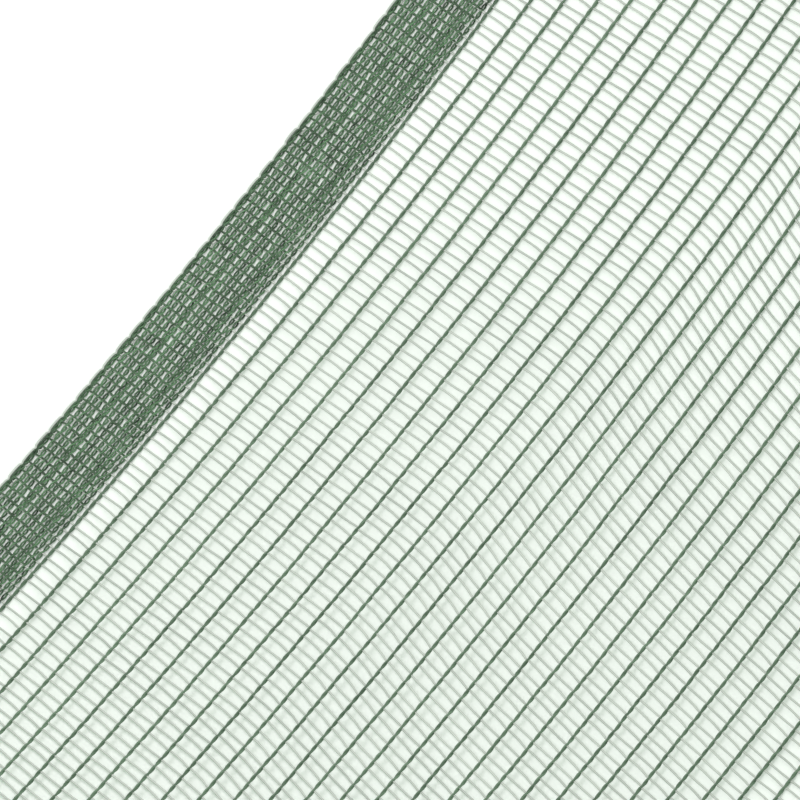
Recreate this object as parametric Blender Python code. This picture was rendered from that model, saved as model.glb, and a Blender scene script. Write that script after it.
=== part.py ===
# A cut length of hail net with its woven-in selvedge, lying with one soft fold.
# X runs across the net from the selvedge, Y along the warp cords, and Z is up.
# The net is modelled flat, as across, along and rise, and then bent into its fold and bow.

import math

import bmesh
import bpy

# Driving sizes of the cloth, in metres
NET_LENGTH = 0.360
SELVEDGE_WIDTH = 0.0245
WARP_PITCH = 0.008
OPEN_BAYS = 28
CUT_STUB = 0.003
SHEET_THICKNESS = 0.0010
WARP_WIDTH = 0.0011
WARP_RISE = 0.0006
SELVEDGE_THICKNESS = 0.0014
SELVEDGE_RIBS = 18
SELVEDGE_RIB_RISE = 0.0004
ROWS_ALONG = 24

# How the net lies: the warps bow gently, and far from the selvedge the wefts slant
BOW_RADIUS = 2.62
BOW_TRUE_ACROSS = 0.113
BOW_APEX_ALONG = 0.0246
SLANT_START = 0.1124
SLANT_START_DRIFT = 0.080
SLANT_SOFTNESS = 0.006
SLANT = 0.50
SLANT_FADE = 0.0425
SLANT_GROWTH = 4.0
DRAW_IN_STEP = 0.002

# How much the threads are gathered across the net: place across, share of the largest amount
GATHER_ACROSS = (
    (0.028, 0.00),
    (0.060, 0.14),
    (0.090, 0.30),
    (0.111, 0.48),
    (0.122, 0.64),
    (0.133, 0.82),
    (0.147, 0.98),
    (0.168, 1.00),
    (0.200, 0.63),
    (0.236, 0.00),
)

# The gathering along the net: place along, largest amount, how far its middle moves across
GATHER_ALONG = (
    (-0.180, 0.0023, 0.003),
    (-0.090, 0.0070, -0.007),
    (0.000, 0.0114, -0.005),
    (0.090, 0.0165, 0.000),
    (0.180, 0.0210, -0.004),
)

# Height of the fold across the net: place across, share of the crest's height
FOLD_ACROSS = (
    (0.0245, 0.00),
    (0.034, 0.40),
    (0.046, 0.68),
    (0.064, 0.86),
    (0.090, 0.97),
    (0.125, 1.00),
    (0.165, 0.82),
    (0.205, 0.60),
    (0.240, 0.00),
)

# The fold along the net: place along at the crest, crest height
FOLD_ALONG = (
    (-0.230, 0.0036),
    (-0.130, 0.0046),
    (-0.090, 0.0047),
    (-0.045, 0.0043),
    (-0.005, 0.0035),
    (0.030, 0.0022),
    (0.060, 0.0010),
    (0.100, 0.0003),
    (0.220, 0.0002),
)
FOLD_CREST = 0.120
FOLD_SLEW = 0.35

# What a thread moves across and along for its height less its gathering
LEAN = (0.1845, -0.243)

NET_GREEN = (0.075, 0.130, 0.080, 1.0)
NET_ROUGHNESS = 0.6


def clear_scene():
    for old in list(bpy.data.objects):
        bpy.data.objects.remove(old, do_unlink=True)


def slope_at(table, row, column):
    """The slope of a smooth curve at one row of a table, level at both ends."""
    if row in (0, len(table) - 1):
        return 0.0
    rise = table[row + 1][column] - table[row - 1][column]
    return rise / (table[row + 1][0] - table[row - 1][0])


def read_curve(table, place, column):
    """A column of a table, read on a smooth curve at a place along its first column."""
    if place <= table[0][0]:
        return table[0][column]
    if place >= table[-1][0]:
        return table[-1][column]
    row = max(i for i in range(len(table) - 1) if table[i][0] <= place)
    span = table[row + 1][0] - table[row][0]
    t = (place - table[row][0]) / span
    start_weight = (1 + 2 * t) * (1 - t) ** 2
    start_slope = t * (1 - t) ** 2 * span * slope_at(table, row, column)
    end_slope = t * t * (t - 1) * span * slope_at(table, row + 1, column)
    ends = start_weight * table[row][column] + (1 - start_weight) * table[row + 1][column]
    return ends + start_slope + end_slope


def gathering(across, along):
    """How much the threads are gathered at a place: they lie as if drawn in over a rise this high."""
    largest = read_curve(GATHER_ALONG, along, 1)
    middle_move = read_curve(GATHER_ALONG, along, 2)
    return largest * read_curve(GATHER_ACROSS, across - middle_move, 1)


def fold_height(across, along):
    """Height of the net's underside over the surface that it lies on."""
    slewed = along - FOLD_SLEW * (across - FOLD_CREST)
    return read_curve(FOLD_ALONG, slewed, 1) * read_curve(FOLD_ACROSS, across, 1)


def drawn_in(across, along):
    """Plan distance from the outer edge, shorter than the cloth where its threads are gathered."""
    steps = max(1, math.ceil(across / DRAW_IN_STEP))
    step = across / steps
    levels = [gathering(step * i, along) for i in range(steps + 1)]
    return sum(math.sqrt(step * step - (b - a) ** 2) for a, b in zip(levels, levels[1:]))


def weft_slant(across, along):
    """How far the wefts have slid along the warps."""
    beyond = across - SLANT_START - SLANT_START_DRIFT * along
    past = SLANT_SOFTNESS * math.log1p(math.exp(beyond / SLANT_SOFTNESS))
    slid = SLANT * SLANT_FADE * (1 - math.exp(-past / SLANT_FADE))
    return -slid * (1 + SLANT_GROWTH * along)


def lay_out(across, along, rise):
    """The place in space of a point of the flat cloth, rise being its height over the underside."""
    step = DRAW_IN_STEP / 2
    climb = (fold_height(across + step, along) - fold_height(across - step, along)) / (2 * step)
    tilt = math.asin(max(-0.9, min(0.9, climb)))
    plan = drawn_in(across, along) - rise * math.sin(tilt)
    angle = (along + weft_slant(across, along) - BOW_APEX_ALONG) / (BOW_RADIUS + BOW_TRUE_ACROSS)
    x = (BOW_RADIUS + plan) * math.cos(angle) - BOW_RADIUS
    y = (BOW_RADIUS + plan) * math.sin(angle) + BOW_APEX_ALONG
    height = fold_height(across, along)
    lean = height - gathering(across, along)
    return x + LEAN[0] * lean, y + LEAN[1] * lean, height + rise * math.cos(tilt)


def upper_outline():
    """The ribbed upper face in section, from the outer selvedge edge to the cut edge."""
    rib = SELVEDGE_WIDTH / SELVEDGE_RIBS
    points = [(0.0, SELVEDGE_THICKNESS * 0.6)]
    for i in range(SELVEDGE_RIBS):
        points.append((rib * (i + 0.5), SELVEDGE_THICKNESS + SELVEDGE_RIB_RISE))
        points.append((rib * (i + 1), SELVEDGE_THICKNESS))
    points[-1] = (SELVEDGE_WIDTH + WARP_WIDTH / 2, SHEET_THICKNESS)
    for bay in range(1, OPEN_BAYS + 1):
        middle = SELVEDGE_WIDTH + bay * WARP_PITCH
        points.append((middle - WARP_WIDTH / 2, SHEET_THICKNESS))
        points.append((middle, SHEET_THICKNESS + WARP_RISE))
        points.append((middle + WARP_WIDTH / 2, SHEET_THICKNESS))
    points.append((SELVEDGE_WIDTH + OPEN_BAYS * WARP_PITCH + CUT_STUB, SHEET_THICKNESS))
    return points


def lower_outline():
    """The plain underside in section, from the cut edge back to the outer selvedge edge."""
    across = [SELVEDGE_WIDTH + OPEN_BAYS * WARP_PITCH + CUT_STUB]
    across += [SELVEDGE_WIDTH + bay * WARP_PITCH for bay in range(OPEN_BAYS, -1, -1)]
    across += [SELVEDGE_WIDTH / 2, 0.0]
    return [(a, 0.0) for a in across]


def flat_net():
    """The flat cloth as one closed solid, its ribbed section extruded along the warps."""
    mesh = bmesh.new()
    section = [
        mesh.verts.new((across, -NET_LENGTH / 2, rise))
        for across, rise in upper_outline() + lower_outline()
    ]
    mesh.faces.new(section)
    edges = list(mesh.edges)
    for _ in range(ROWS_ALONG):
        made = bmesh.ops.extrude_edge_only(mesh, edges=edges)["geom"]
        row = [item for item in made if isinstance(item, bmesh.types.BMVert)]
        edges = [item for item in made if isinstance(item, bmesh.types.BMEdge)]
        edges = [edge for edge in edges if all(vert in row for vert in edge.verts)]
        bmesh.ops.translate(mesh, verts=row, vec=(0.0, NET_LENGTH / ROWS_ALONG, 0.0))
    bmesh.ops.contextual_create(mesh, geom=edges)
    return mesh


def yarn_material():
    material = bpy.data.materials.new("net_yarn")
    material.use_nodes = True
    shader = material.node_tree.nodes["Principled BSDF"]
    shader.inputs["Base Color"].default_value = NET_GREEN
    shader.inputs["Roughness"].default_value = NET_ROUGHNESS
    shader.inputs["Metallic"].default_value = 0.0
    return material


def build_net():
    mesh = flat_net()
    for vert in mesh.verts:
        vert.co = lay_out(*vert.co)
    low = [min(vert.co[axis] for vert in mesh.verts) for axis in range(3)]
    high = [max(vert.co[axis] for vert in mesh.verts) for axis in range(3)]
    middle = (-(low[0] + high[0]) / 2, -(low[1] + high[1]) / 2, 0.0)
    bmesh.ops.translate(mesh, verts=mesh.verts, vec=middle)
    bmesh.ops.recalc_face_normals(mesh, faces=mesh.faces)
    data = bpy.data.meshes.new("hail_net")
    mesh.to_mesh(data)
    mesh.free()
    data.materials.append(yarn_material())
    net = bpy.data.objects.new("hail_net", data)
    bpy.context.scene.collection.objects.link(net)
    return net


clear_scene()
build_net()
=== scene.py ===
import math

import bmesh
import bpy
import numpy as np
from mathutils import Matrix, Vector


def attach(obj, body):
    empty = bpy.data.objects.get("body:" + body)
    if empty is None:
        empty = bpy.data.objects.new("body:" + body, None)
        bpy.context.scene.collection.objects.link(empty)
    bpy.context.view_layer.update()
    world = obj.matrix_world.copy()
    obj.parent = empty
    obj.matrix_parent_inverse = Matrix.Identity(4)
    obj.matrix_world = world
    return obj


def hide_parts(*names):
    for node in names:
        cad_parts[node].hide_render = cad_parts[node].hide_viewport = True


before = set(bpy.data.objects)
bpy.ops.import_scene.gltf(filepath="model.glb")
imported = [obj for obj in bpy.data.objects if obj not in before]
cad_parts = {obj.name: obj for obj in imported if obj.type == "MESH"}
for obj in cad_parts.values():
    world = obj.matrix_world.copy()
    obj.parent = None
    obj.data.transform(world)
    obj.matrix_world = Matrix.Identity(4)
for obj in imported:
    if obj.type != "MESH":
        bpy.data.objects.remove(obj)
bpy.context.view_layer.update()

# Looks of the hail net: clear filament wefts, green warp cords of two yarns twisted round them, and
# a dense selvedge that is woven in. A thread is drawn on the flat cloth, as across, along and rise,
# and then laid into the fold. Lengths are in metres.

# Driving sizes of the cloth, the same as in the part's source
NET_LENGTH = 0.360
SELVEDGE_WIDTH = 0.0245
WARP_PITCH = 0.008
OPEN_BAYS = 28
CUT_STUB = 0.003
NET_WIDTH = SELVEDGE_WIDTH + OPEN_BAYS * WARP_PITCH + CUT_STUB

# How the net lies, the same as in the part's source
BOW_RADIUS = 2.62
BOW_TRUE_ACROSS = 0.113
BOW_APEX_ALONG = 0.0246
SLANT_START = 0.1124
SLANT_START_DRIFT = 0.080
SLANT_SOFTNESS = 0.006
SLANT = 0.50
SLANT_FADE = 0.0425
SLANT_GROWTH = 4.0

# How much the threads are gathered across the net: place across, share of the largest amount
GATHER_ACROSS = (
    (0.028, 0.00),
    (0.060, 0.14),
    (0.090, 0.30),
    (0.111, 0.48),
    (0.122, 0.64),
    (0.133, 0.82),
    (0.147, 0.98),
    (0.168, 1.00),
    (0.200, 0.63),
    (0.236, 0.00),
)

# The gathering along the net: place along, largest amount, how far its middle moves across
GATHER_ALONG = (
    (-0.180, 0.0023, 0.003),
    (-0.090, 0.0070, -0.007),
    (0.000, 0.0114, -0.005),
    (0.090, 0.0165, 0.000),
    (0.180, 0.0210, -0.004),
)

# Height of the fold across the net: place across, share of the crest's height
FOLD_ACROSS = (
    (0.0245, 0.00),
    (0.034, 0.40),
    (0.046, 0.68),
    (0.064, 0.86),
    (0.090, 0.97),
    (0.125, 1.00),
    (0.165, 0.82),
    (0.205, 0.60),
    (0.240, 0.00),
)

# The fold along the net: place along at the crest, crest height
FOLD_ALONG = (
    (-0.230, 0.0036),
    (-0.130, 0.0046),
    (-0.090, 0.0047),
    (-0.045, 0.0043),
    (-0.005, 0.0035),
    (0.030, 0.0022),
    (0.060, 0.0010),
    (0.100, 0.0003),
    (0.220, 0.0002),
)
FOLD_CREST = 0.120
FOLD_SLEW = 0.35

# What a thread moves across and along for its height less its gathering
LEAN = (0.1845, -0.243)

# The table of plan distances: its reach and number of places, across and along
PLAN_ACROSS = (0.0, 0.256, 257)
PLAN_ALONG = (-0.186, 0.186, 94)

# Places read across and along for the net's outline, the step that the fold's slope is read over,
# and the steepest slope that counts
OUTLINE_PLACES = (120, 25)
CLIMB_STEP = 0.001
STEEPEST = 0.9

# Wefts: spacing, number, and the height of their middles in the open net and in the selvedge
WEFT_PITCH = 0.00317
WEFTS = 114
WEFT_RISE = 0.00067
EDGE_RISE = 0.00074
FILAMENT_RADIUS = 0.000325
WEFT_WANDER = (0.00003, 0.02)

# A weft's path: where it leaves the cords, how it steps and bows from cord to cord, and its ends
LEG_START = 0.0022
LEG_END = 0.0006
LEG_POINTS = 14
LEG_SPREAD = 0.00004
CORD_GRIP = 0.00045
WEFT_STEP = 0.00024
WEFT_STEP_SPREAD = 0.00005
WEFT_LANDING_SPREAD = 0.00008
WEFT_BOW = 0.00020
WEFT_BOW_SPREAD = 0.00005
BAY_SHARES = (0.0, 0.3, 0.65, 1.0)
WEFT_END_REACH = (-0.0006, 0.0004)

# The turn that joins two wefts at the outer edge
TURN_MIDDLE = 0.00170
TURN_ACROSS = 0.00108
TURN_ALONG = 0.00315
TURN_FLATNESS = 0.26
TURN_POINTS = 10
TURN_SLACK = 0.06

# Warp cords of the open net: yarn radius, how far each yarn swings out, and how evenly they lie
CORD_YARN_RADIUS = 0.00033
CORD_SWINGS = (0.00026, 0.00018)
CORD_HALF_DEPTH = 0.00040
CORD_LOOSENESS = 0.22
CORD_DRIFT = 0.00005
CORDS_NEAR_SELVEDGE = 14

# Cords of the selvedge, and the gaps between them from the open net to the outer edge
EDGE_YARN_RADIUS = 0.00026
EDGE_SWINGS = (0.00042, 0.00034)
EDGE_HALF_DEPTH = 0.00042
EDGE_LOOSENESS = 0.35
EDGE_DRIFT = 0.00007
SELVEDGE_GAPS = (
    0.0019, 0.0015, 0.0016, 0.0013, 0.0015, 0.0018, 0.0016,
    0.0016, 0.0018, 0.0012, 0.0018, 0.0016, 0.0016, 0.0018,
)

# All twisted cords: the waves of their unevenness, and their splayed, uneven cut ends
POINTS_PER_WEFT = 4
LOOSENESS_WAVE = 0.031
DRIFT_WAVE = 0.047
END_SPLAY = 0.8
END_SPLAY_REACH = 0.0012
END_REACH = (-0.0003, 0.0006)
LIFT_OFF_FLOOR = 1.02

# The binder yarn: how it goes beside and over the wefts, and its shorter turn
BINDER_RADIUS = 0.00034
BINDER_REACH = 0.0212
BINDER_REACH_SPREAD = 0.0012
BINDER_POINTS = 12
BINDER_BESIDE = 0.00015
BINDER_BESIDE_SPREAD = 0.0001
BINDER_LIFT = 0.00024
BINDER_TURN_SHORTER = 0.0007
BINDER_WANDER = (0.00005, 0.02)

# A slow drift: the waves that it is made of, their total, and how much their lengths vary
WANDER_SHARES = (1.0, 0.6, 0.35)
WANDER_TOTAL = 1.2
WANDER_STRETCH = (0.85, 1.15)

# A round thread's mesh: sides, and the strip of the map that its wall and its ends take
SIDES = 6
WALL_START, WALL_SPAN = 0.01, 0.98
WALL_MARGIN, WALL_HEIGHT = 0.1, 0.8
END_PLACES, END_HALF_SPAN, END_HALF_HEIGHT = (0.005, 0.995), 0.003, 0.35
JOIN_DISTANCE = 0.000002

# Colours of the finishes, in whole sRGB numbers, and how strongly the yarns' fibre streaks show
# Selvedge yarn: its dark end, darker than the warps', is partly painted shade, and its strong
# streaks are partly painted highlights
EDGE_YARN_DARK_AND_SHADE = (20, 38, 22)
EDGE_YARN_LIGHT = (106, 148, 107)
BINDER_LIGHT = (84, 116, 85)
EDGE_STREAKS_AND_HIGHLIGHTS = 2.8
WARP_YARN_DARK = (56, 76, 58)
WARP_YARN_LIGHT = (116, 142, 117)
WARP_STREAKS = 0.8
FILAMENT_DARK = (167, 171, 166)
FILAMENT_LIGHT = (209, 212, 206)
FLOOR_DARK = (246, 250, 246)
FLOOR_LIGHT = (249, 252, 249)

# Floor and light, in linear colours; each lamp has its name, place, size and power
FLOOR_HALF_SIZE = 3.0
ROOM_COLOUR = (0.76, 0.94, 0.76, 1)
ROOM_STRENGTH = 0.635
LAMP_COLOUR = (1.0, 0.92, 1.0)
LAMPS = (
    ("far_light", (-0.203, 0.199, 0.5), 0.6, 0.9),
    ("high_light", (0.23, -0.303, 1.243), 0.2, 3.8),
    ("side_light", (-0.364, -0.295, 1.213), 0.38, 3.9),
)

# Camera, as in the photograph
VIEW_AZIMUTH = 37.2
VIEW_ELEVATION = 73.0
VIEW_WIDTH = 800 / 3497
VIEW_TARGET = (0.0733, -0.0005)
LENS = 1200.0
SENSOR = 36.0
CLIP = (0.01, 20.0)

chance = np.random.default_rng(14)


def read_curve(table, place, column):
    """A column of a table, read on a smooth curve at places along its first column."""
    rows = np.array(table)
    places, values = rows[:, 0], rows[:, column]
    slopes = np.zeros(len(rows))
    slopes[1:-1] = (values[2:] - values[:-2]) / (places[2:] - places[:-2])
    place = np.clip(place, places[0], places[-1])
    row = np.clip(np.searchsorted(places, place, side="right") - 1, 0, len(rows) - 2)
    span = places[row + 1] - places[row]
    t = (place - places[row]) / span
    start_weight = (1 + 2 * t) * (1 - t) ** 2
    bends = t * (1 - t) ** 2 * slopes[row] + t * t * (t - 1) * slopes[row + 1]
    return start_weight * values[row] + (1 - start_weight) * values[row + 1] + span * bends


def gathering(across, along):
    """How much the threads are gathered: they lie as if drawn in over a rise this high."""
    largest = read_curve(GATHER_ALONG, along, 1)
    middle_move = read_curve(GATHER_ALONG, along, 2)
    return largest * read_curve(GATHER_ACROSS, across - middle_move, 1)


def fold_height(across, along):
    """Height of the net's underside over the surface that it lies on."""
    slewed = along - FOLD_SLEW * (across - FOLD_CREST)
    return read_curve(FOLD_ALONG, slewed, 1) * read_curve(FOLD_ACROSS, across, 1)


def weft_slant(across, along):
    """How far the wefts have slid along the warps."""
    beyond = across - SLANT_START - SLANT_START_DRIFT * along
    past = SLANT_SOFTNESS * np.log1p(np.exp(beyond / SLANT_SOFTNESS))
    slid = SLANT * SLANT_FADE * (1 - np.exp(-past / SLANT_FADE))
    return -slid * (1 + SLANT_GROWTH * along)


class DrawnIn:
    """Plan distance from the outer edge, shorter than the cloth where its threads are gathered."""

    def __init__(self):
        self.across = np.linspace(*PLAN_ACROSS)
        self.along = np.linspace(*PLAN_ALONG)
        levels = gathering(self.across[None, :], self.along[:, None])
        step = self.across[1] - self.across[0]
        runs = np.sqrt(step * step - np.diff(levels, axis=1) ** 2)
        edge = np.zeros((len(self.along), 1))
        self.plan = np.concatenate([edge, np.cumsum(runs, axis=1)], axis=1)

    def __call__(self, across, along):
        a = (across - self.across[0]) / (self.across[1] - self.across[0])
        b = (along - self.along[0]) / (self.along[1] - self.along[0])
        i = np.clip(a.astype(int), 0, len(self.across) - 2)
        j = np.clip(b.astype(int), 0, len(self.along) - 2)
        a, b = a - i, b - j
        near = self.plan[j, i] * (1 - a) + self.plan[j, i + 1] * a
        far = self.plan[j + 1, i] * (1 - a) + self.plan[j + 1, i + 1] * a
        return near * (1 - b) + far * b


drawn_in = DrawnIn()


def lay_out(across, along, rise):
    """Places in space of points of the flat cloth, rise being their height over the underside."""
    across, along, rise = np.broadcast_arrays(
        np.asarray(across, float), np.asarray(along, float), np.asarray(rise, float)
    )
    beyond = fold_height(across + CLIMB_STEP, along)
    before = fold_height(across - CLIMB_STEP, along)
    tilt = np.arcsin(np.clip((beyond - before) / (2 * CLIMB_STEP), -STEEPEST, STEEPEST))
    plan = drawn_in(across, along) - rise * np.sin(tilt)
    angle = (along + weft_slant(across, along) - BOW_APEX_ALONG) / (BOW_RADIUS + BOW_TRUE_ACROSS)
    x = (BOW_RADIUS + plan) * np.cos(angle) - BOW_RADIUS
    y = (BOW_RADIUS + plan) * np.sin(angle) + BOW_APEX_ALONG
    height = fold_height(across, along)
    lean = height - gathering(across, along)
    return np.stack([x + LEAN[0] * lean, y + LEAN[1] * lean, height + rise * np.cos(tilt)], axis=-1)


def middle_in_plan():
    """The middle of the laid net in plan, which the frame has at its origin."""
    across = np.linspace(0, NET_WIDTH, OUTLINE_PLACES[0])[:, None]
    along = np.linspace(-NET_LENGTH / 2, NET_LENGTH / 2, OUTLINE_PLACES[1])[None, :]
    outline = lay_out(across, along, 0).reshape(-1, 3)
    return (outline.min(axis=0) + outline.max(axis=0)) / 2 * (1, 1, 0)


MIDDLE = middle_in_plan()


def wander(places, size, wave):
    """A slow, seeded drift along a thread."""
    drift = np.zeros_like(places)
    for share in WANDER_SHARES:
        turn = chance.uniform(0, 2 * math.pi)
        stretch = chance.uniform(*WANDER_STRETCH)
        drift += share * np.sin(2 * math.pi * places / (wave * share) * stretch + turn)
    return size * drift / WANDER_TOTAL


def warp_runs(middle, rise, yarn_radius, swings, half_depth, looseness, drift, hand):
    """The two yarns of one warp cord, half a turn round each other from weft to weft."""
    start, end = -NET_LENGTH / 2, NET_LENGTH / 2
    along = np.arange(start, end + 1e-6, WEFT_PITCH / POINTS_PER_WEFT)
    # The half turn more puts one yarn over and one under each weft
    turn = math.pi * (along / WEFT_PITCH + 0.5) + wander(along, looseness, LOOSENESS_WAVE)
    cord = middle + wander(along, drift, DRIFT_WAVE)
    at_start = END_SPLAY * np.exp(-(along - start) / END_SPLAY_REACH)
    at_end = END_SPLAY * np.exp(-(end - along) / END_SPLAY_REACH)
    splay = 1 + at_start + at_end
    runs = []
    for side, swing in zip((hand, -hand), swings):
        across = cord + side * swing * np.sin(turn) * splay
        height = np.maximum(rise + side * half_depth * np.cos(turn), yarn_radius * LIFT_OFF_FLOOR)
        trimmed = along.copy()
        trimmed[0] -= chance.uniform(*END_REACH)
        trimmed[-1] += chance.uniform(*END_REACH)
        runs.append(lay_out(across, trimmed, height) - MIDDLE)
    return runs


def weft_along(number):
    """The place along the net of a weft, or of a place between two wefts."""
    return (number - (WEFTS - 1) / 2) * WEFT_PITCH


def weft_places(number, cord_middles):
    """One weft on the flat cloth, from the outermost cord to the cut edge, as across and along."""
    hand = 1 if number % 2 else -1
    across, beside = [], []
    for place in np.linspace(TURN_MIDDLE + LEG_START, SELVEDGE_WIDTH - LEG_END, LEG_POINTS):
        across.append(place)
        beside.append(chance.normal(0, LEG_SPREAD))
    for bay in range(OPEN_BAYS):
        begin, end = cord_middles[bay] + CORD_GRIP, cord_middles[bay + 1] - CORD_GRIP
        at_begin = WEFT_STEP * hand + chance.normal(0, WEFT_STEP_SPREAD)
        at_end = chance.normal(0, WEFT_LANDING_SPREAD)
        bow = (WEFT_BOW if hand > 0 else 0.0) + chance.normal(0, WEFT_BOW_SPREAD)
        for share in BAY_SHARES:
            across.append(begin + (end - begin) * share)
            beside.append(at_begin + (at_end - at_begin) * share + bow * math.sin(math.pi * share))
    across.append(NET_WIDTH + chance.uniform(*WEFT_END_REACH))
    beside.append(beside[-1])
    return np.array(across), weft_along(number) + np.array(beside)


def turn_places(number, reach_across, slack):
    """The wide turn that joins a pair of wefts round the outermost cord."""
    neck = math.pi - math.asin(WEFT_PITCH / 2 / TURN_ALONG)
    angles = np.linspace(-neck, neck, TURN_POINTS)
    flattened = np.sign(np.cos(angles)) * np.abs(np.cos(angles)) ** TURN_FLATNESS
    across = TURN_MIDDLE - reach_across * slack * flattened
    return across, weft_along(number + 0.5) + TURN_ALONG * np.sin(angles)


def weft_runs(cord_middles):
    """The filament in pairs of wefts, each pair joined by a turn at the outer edge."""
    runs = []
    for number in range(0, WEFTS, 2):
        out_across, out_along = weft_places(number, cord_middles)
        back_across, back_along = weft_places(number + 1, cord_middles)
        turn_across, turn_along = turn_places(number, TURN_ACROSS, chance.normal(1, TURN_SLACK))
        across = np.concatenate([out_across[::-1], turn_across, back_across])
        along = np.concatenate([out_along[::-1], turn_along, back_along])
        rise = np.where(across < SELVEDGE_WIDTH, EDGE_RISE, WEFT_RISE)
        rise = rise + wander(across, *WEFT_WANDER)
        runs.append(lay_out(across, along, rise) - MIDDLE)
    return runs


def binder_runs():
    """The green yarn that goes with each pair of wefts through the selvedge and round its edge."""
    reach = TURN_ACROSS - BINDER_TURN_SHORTER
    runs = []
    for number in range(0, WEFTS, 2):
        legs = []
        for leg in (number, number + 1):
            end = BINDER_REACH + chance.uniform(-BINDER_REACH_SPREAD, BINDER_REACH_SPREAD)
            beside = chance.normal(BINDER_BESIDE, BINDER_BESIDE_SPREAD, BINDER_POINTS)
            across = np.linspace(TURN_MIDDLE + LEG_START, end, BINDER_POINTS)
            legs.append((across, weft_along(leg) + beside))
        turn_across, turn_along = turn_places(number, reach, chance.normal(1, TURN_SLACK))
        across = np.concatenate([legs[0][0][::-1], turn_across, legs[1][0]])
        along = np.concatenate([legs[0][1][::-1], turn_along, legs[1][1]])
        rise = EDGE_RISE + BINDER_LIFT + wander(across, *BINDER_WANDER)
        runs.append(lay_out(across, along, rise) - MIDDLE)
    return runs


def shade(value):
    """An sRGB colour given in whole numbers, as the linear colour that a shader takes."""
    levels = [
        ((c / 255 + 0.055) / 1.055) ** 2.4 if c > 10 else c / 255 / 12.92
        for c in value
    ]
    return (*levels, 1.0)


def feed(tree, place, value):
    """Links a level to a node's socket, or sets the socket to a plain value."""
    if isinstance(value, Level):
        tree.links.new(value.socket, place)
    else:
        place.default_value = value


class Level:
    """One output of a shader node, so that an expression on it adds its Math nodes."""

    def __init__(self, tree, socket):
        self.tree = tree
        self.socket = socket

    def worked(self, operation, *values):
        node = self.tree.nodes.new("ShaderNodeMath")
        node.operation = operation
        for place, value in zip(node.inputs, values):
            feed(self.tree, place, value)
        return Level(self.tree, node.outputs[0])

    def __add__(self, other):
        return self.worked("ADD", self, other)

    def __radd__(self, other):
        return self.worked("ADD", other, self)

    def __sub__(self, other):
        return self.worked("SUBTRACT", self, other)

    def __rsub__(self, other):
        return self.worked("SUBTRACT", other, self)

    def __mul__(self, other):
        return self.worked("MULTIPLY", self, other)

    def __rmul__(self, other):
        return self.worked("MULTIPLY", other, self)

    def held(self):
        """The same level, kept from 0 to 1."""
        low = self.worked("MAXIMUM", self, 0.0)
        return low.worked("MINIMUM", low, 1.0)


class Finish:
    """A material and the nodes that are added to it."""

    def __init__(self, name, viewport):
        self.material = bpy.data.materials.new(name)
        self.material.use_nodes = True
        self.material.diffuse_color = viewport
        self.tree = self.material.node_tree
        self.shader = self.tree.nodes["Principled BSDF"]

    def node(self, kind, settings, sockets, output=0):
        """Adds a node, sets it up, feeds its sockets, and gives one of its outputs."""
        made = self.tree.nodes.new(kind)
        for name, value in settings.items():
            setattr(made, name, value)
        for name, value in sockets.items():
            feed(self.tree, made.inputs[name], value)
        return Level(self.tree, made.outputs[output])

    def set(self, sockets):
        """Feeds the sockets of the material's own shader."""
        for name, value in sockets.items():
            feed(self.tree, self.shader.inputs[name], value)

    def blend(self, share, first, second):
        """A colour between two colours."""
        ends = {0: share, 6: shade(first), 7: shade(second)}
        return self.node("ShaderNodeMix", {"data_type": "RGBA"}, ends, output=2)

    def noise(self, vector, scale, detail, roughness=0.5):
        """Soft noise, from 0 to 1."""
        sockets = {"Vector": vector, "Scale": scale, "Detail": detail, "Roughness": roughness}
        return self.node("ShaderNodeTexNoise", {}, sockets)

    def bump(self, height, strength, distance):
        """Fine relief in the finish."""
        sockets = {"Strength": strength, "Distance": distance, "Height": height}
        return self.node("ShaderNodeBump", {}, sockets)

    def spot(self):
        """Places in space on the piece, from its Object coordinates."""
        return self.node("ShaderNodeTexCoord", {}, {}, output=3)

    def thread_tone(self):
        """A level of its own for each thread, from 0 to 1."""
        return self.node("ShaderNodeAttribute", {"attribute_name": "thread_tone"}, {}, output=2)

    def along_strip(self, strips, turns_along, turns_round):
        """Places on a piece's thread strips, as cycles along the thread and round it."""
        place = self.node("ShaderNodeUVMap", {"uv_map": "OFBake"}, {})
        sockets = {"Vector": place, "Scale": (turns_along, strips * turns_round, 1.0)}
        return self.node("ShaderNodeMapping", {"vector_type": "POINT"}, sockets)


def green_yarn(strips, dark, light, streaks_and_highlights):
    """Twisted polyethylene yarn: green, fine lengthwise fibres and a soft gloss; strong streaks are
    partly painted highlights.
    """
    finish = Finish("green_polyethylene_yarn", (0.05, 0.1, 0.05, 1))
    tone = finish.thread_tone()
    strip = finish.along_strip(strips, turns_along=110.0, turns_round=4.0)
    fibres = finish.noise(strip, scale=1.0, detail=3.0, roughness=0.6)
    patches = finish.noise(finish.spot(), scale=160.0, detail=2.0)
    # Lightness mixes the thread's tone, fibre streaks and patches; strong streaks also paint
    # highlights and shade
    lightness = (tone * 0.35 + (fibres - 0.5) * streaks_and_highlights + (patches - 0.5) * 0.6 + 0.3).held()
    finish.set({
        "Base Color": finish.blend(lightness, dark, light),
        "Roughness": 0.62 - fibres * 0.25,
        "Normal": finish.bump(fibres, strength=0.5, distance=0.00006),
    })
    return finish.material


def clear_filament(strips):
    """Drawn filament: clear grey, glossy, with faint draw lines and cloudy stretches."""
    finish = Finish("clear_drawn_filament", (0.6, 0.65, 0.6, 1))
    tone = finish.thread_tone()
    strip = finish.along_strip(strips, turns_along=60.0, turns_round=5.0)
    lines = finish.noise(strip, scale=1.0, detail=2.0)
    clouds = finish.noise(finish.spot(), scale=90.0, detail=2.0)
    lightness = (tone * 0.4 + lines * 0.5 + clouds * 0.7 - 0.3).held()
    finish.set({
        "Base Color": finish.blend(lightness, FILAMENT_DARK, FILAMENT_LIGHT),
        "Roughness": 0.22 + lines * 0.2,
        "Normal": finish.bump(lines, strength=0.3, distance=0.00003),
    })
    return finish.material


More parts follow.
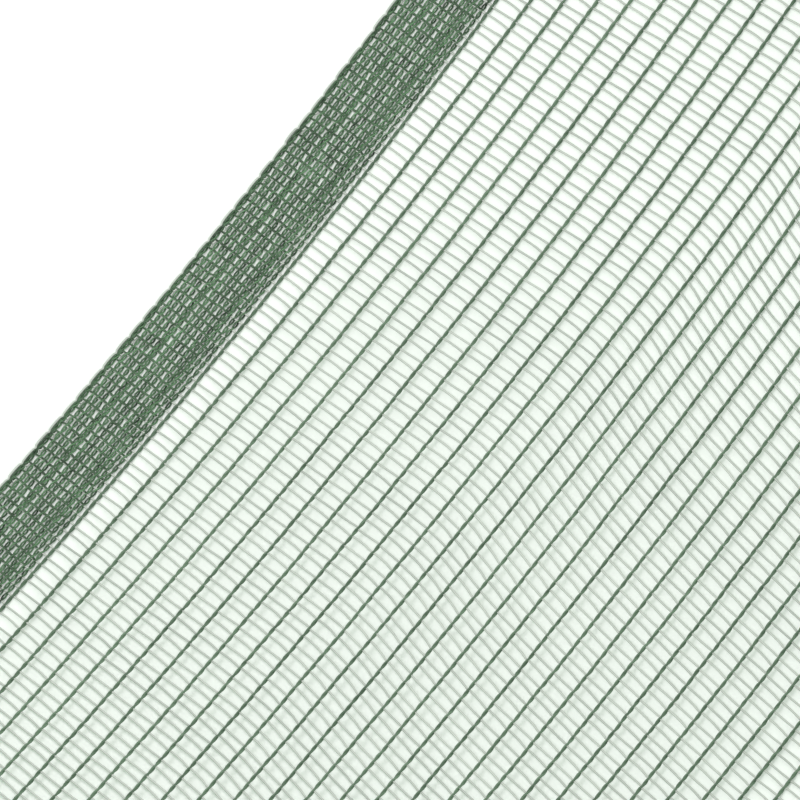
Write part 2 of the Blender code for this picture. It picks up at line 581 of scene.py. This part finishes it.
def plain_floor():
    """The pale, matt surface under the net."""
    finish = Finish("pale_floor", (0.9, 0.92, 0.9, 1))
    grain = finish.noise(finish.spot(), scale=40.0, detail=3.0)
    colour = finish.blend(grain, FLOOR_DARK, FLOOR_LIGHT)
    finish.set({"Base Color": colour, "Roughness": 0.75, "Specular IOR Level": 0.2})
    return finish.material


def strip_places(tubes, strip, strips):
    """Lays a thread's wall on a strip of the map of its own, and its end faces on both sides."""
    places = np.zeros(len(tubes.loops) * 2)
    layer = tubes.uv_layers[0]
    layer.data.foreach_get("uv", places)
    places = places.reshape(-1, 2)
    totals = np.zeros(len(tubes.polygons), int)
    tubes.polygons.foreach_get("loop_total", totals)
    ends = np.repeat(totals == 3, totals)
    turn = 2 * math.pi * np.round(places[:, 0] * (SIDES - 1)) / SIDES
    first_end = np.cumsum(ends) <= ends.sum() / 2
    end_along = np.where(first_end, *END_PLACES) + END_HALF_SPAN * np.cos(turn)
    end_across = 0.5 + END_HALF_HEIGHT * np.sin(turn)
    along = np.where(ends, end_along, WALL_START + WALL_SPAN * places[:, 0])
    across = np.where(ends, end_across, WALL_MARGIN + WALL_HEIGHT * places[:, 1])
    layer.data.foreach_set("uv", np.column_stack([along, (strip + across) / strips]).ravel())
    layer.name = "OFBake"


def round_thread(name, run, radius):
    """One thread as a closed round tube along its run of points."""
    curve = bpy.data.curves.new(name, "CURVE")
    curve.dimensions = "3D"
    curve.bevel_depth = radius
    curve.bevel_resolution = 1
    curve.use_fill_caps = True
    spline = curve.splines.new("POLY")
    spline.points.add(len(run) - 1)
    spline.points.foreach_set("co", np.column_stack([run, np.ones(len(run))]).ravel())
    line = bpy.data.objects.new(name, curve)
    tubes = bpy.data.meshes.new_from_object(line)
    bpy.data.objects.remove(line)
    bpy.data.curves.remove(curve)
    return tubes


def make_threads(name, runs, radius):
    """A piece of round threads, each with a strip of the map and a tone of its own."""
    mesh = bmesh.new()
    for strip, run in enumerate(runs):
        tubes = round_thread(name + "_line", run, radius)
        strip_places(tubes, strip, len(runs))
        tone = tubes.attributes.new("thread_tone", "FLOAT", "POINT")
        tone.data.foreach_set("value", np.full(len(tubes.vertices), chance.uniform(0, 1)))
        mesh.from_mesh(tubes)
        bpy.data.meshes.remove(tubes)
    bmesh.ops.remove_doubles(mesh, verts=mesh.verts, dist=JOIN_DISTANCE)
    bmesh.ops.recalc_face_normals(mesh, faces=mesh.faces)
    for face in mesh.faces:
        face.smooth = True
    return in_scene(name, mesh)


def in_scene(name, mesh):
    """An object in the scene, made of a bmesh that is then freed."""
    made = bpy.data.meshes.new(name)
    mesh.to_mesh(made)
    mesh.free()
    piece = bpy.data.objects.new(name, made)
    bpy.context.scene.collection.objects.link(piece)
    return piece


def dress(piece, material):
    """Gives a piece its material and its place in the frame."""
    piece.data.materials.append(material)
    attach(piece, "root")
    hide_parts("hail_net")
    return piece


def selvedge_runs():
    """The yarns of the selvedge's cords, the cords twisted left and right in turn."""
    middles = [SELVEDGE_WIDTH - sum(SELVEDGE_GAPS[:row + 1]) for row in range(len(SELVEDGE_GAPS))]
    return [
        run
        for row, middle in enumerate(middles)
        for run in warp_runs(
            middle, EDGE_RISE, EDGE_YARN_RADIUS, EDGE_SWINGS, EDGE_HALF_DEPTH, EDGE_LOOSENESS,
            EDGE_DRIFT, -1 if row % 2 else 1,
        )
    ]


def build_net():
    """The filament wefts, the selvedge that they join, and the warp cords of the open net."""
    cord_middles = [SELVEDGE_WIDTH + WARP_PITCH * bay for bay in range(OPEN_BAYS + 1)]
    edge_yarns = selvedge_runs()
    wefts = weft_runs(cord_middles)
    filament = make_threads("weft_filament", wefts, FILAMENT_RADIUS)
    dress(filament, clear_filament(len(wefts)))
    binders = binder_runs()
    for name, runs, radius, light in (
        ("selvedge_cords", edge_yarns, EDGE_YARN_RADIUS, EDGE_YARN_LIGHT),
        ("selvedge_binders", binders, BINDER_RADIUS, BINDER_LIGHT),
    ):
        piece = make_threads(name, runs, radius)
        finish = green_yarn(len(runs), EDGE_YARN_DARK_AND_SHADE, light, EDGE_STREAKS_AND_HIGHLIGHTS)
        dress(piece, finish)
    warps = [
        warp_runs(
            middle, WEFT_RISE, CORD_YARN_RADIUS, CORD_SWINGS, CORD_HALF_DEPTH, CORD_LOOSENESS,
            CORD_DRIFT, chance.choice((-1, 1)),
        )
        for middle in cord_middles
    ]
    for name, share in (
        ("warp_cords_near_selvedge", warps[:CORDS_NEAR_SELVEDGE]),
        ("warp_cords_near_cut", warps[CORDS_NEAR_SELVEDGE:]),
    ):
        runs = [run for pair in share for run in pair]
        piece = make_threads(name, runs, CORD_YARN_RADIUS)
        finish = green_yarn(len(runs), WARP_YARN_DARK, WARP_YARN_LIGHT, WARP_STREAKS)
        dress(piece, finish)


def lay_floor():
    """A plain pale floor at the height that the net lies on."""
    mesh = bmesh.new()
    bmesh.ops.create_grid(mesh, x_segments=8, y_segments=8, size=FLOOR_HALF_SIZE)
    floor = in_scene("floor", mesh)
    floor.data.materials.append(plain_floor())


def aim(thing, place, target):
    """Puts a light or the camera at a place and turns it to a target."""
    thing.location = place
    thing.rotation_mode = "QUATERNION"
    thing.rotation_quaternion = (Vector(target) - Vector(place)).to_track_quat("-Z", "Y")


def light_room():
    """A pale room, a soft light over the far end, a key light by the camera and a side light."""
    world = bpy.data.worlds.new("pale_room")
    world.use_nodes = True
    background = world.node_tree.nodes["Background"]
    background.inputs["Color"].default_value = ROOM_COLOUR
    background.inputs["Strength"].default_value = ROOM_STRENGTH
    bpy.context.scene.world = world
    for name, place, size, power in LAMPS:
        light = bpy.data.lights.new(name, "AREA")
        light.shape = "DISK"
        light.size = size
        light.energy = power
        light.color = LAMP_COLOUR
        lamp = bpy.data.objects.new(name, light)
        bpy.context.scene.collection.objects.link(lamp)
        aim(lamp, place, (0, 0, 0))


def set_camera():
    """The photograph's view: from above and a little to one side, through a long lens."""
    azimuth, elevation = math.radians(VIEW_AZIMUTH), math.radians(VIEW_ELEVATION)
    back = Vector((
        math.sin(azimuth) * math.cos(elevation),
        -math.cos(azimuth) * math.cos(elevation),
        math.sin(elevation),
    ))
    target = Vector((VIEW_TARGET[0] - MIDDLE[0], VIEW_TARGET[1] - MIDDLE[1], 0.0))
    camera_data = bpy.data.cameras.new("camera")
    camera_data.lens = LENS
    camera_data.sensor_width = SENSOR
    camera_data.clip_start, camera_data.clip_end = CLIP
    camera = bpy.data.objects.new("camera", camera_data)
    bpy.context.scene.collection.objects.link(camera)
    aim(camera, target + back * (VIEW_WIDTH * LENS / SENSOR), target)
    bpy.context.scene.camera = camera


build_net()
lay_floor()
light_room()
set_camera()
bpy.context.scene.view_settings.view_transform = "Standard"
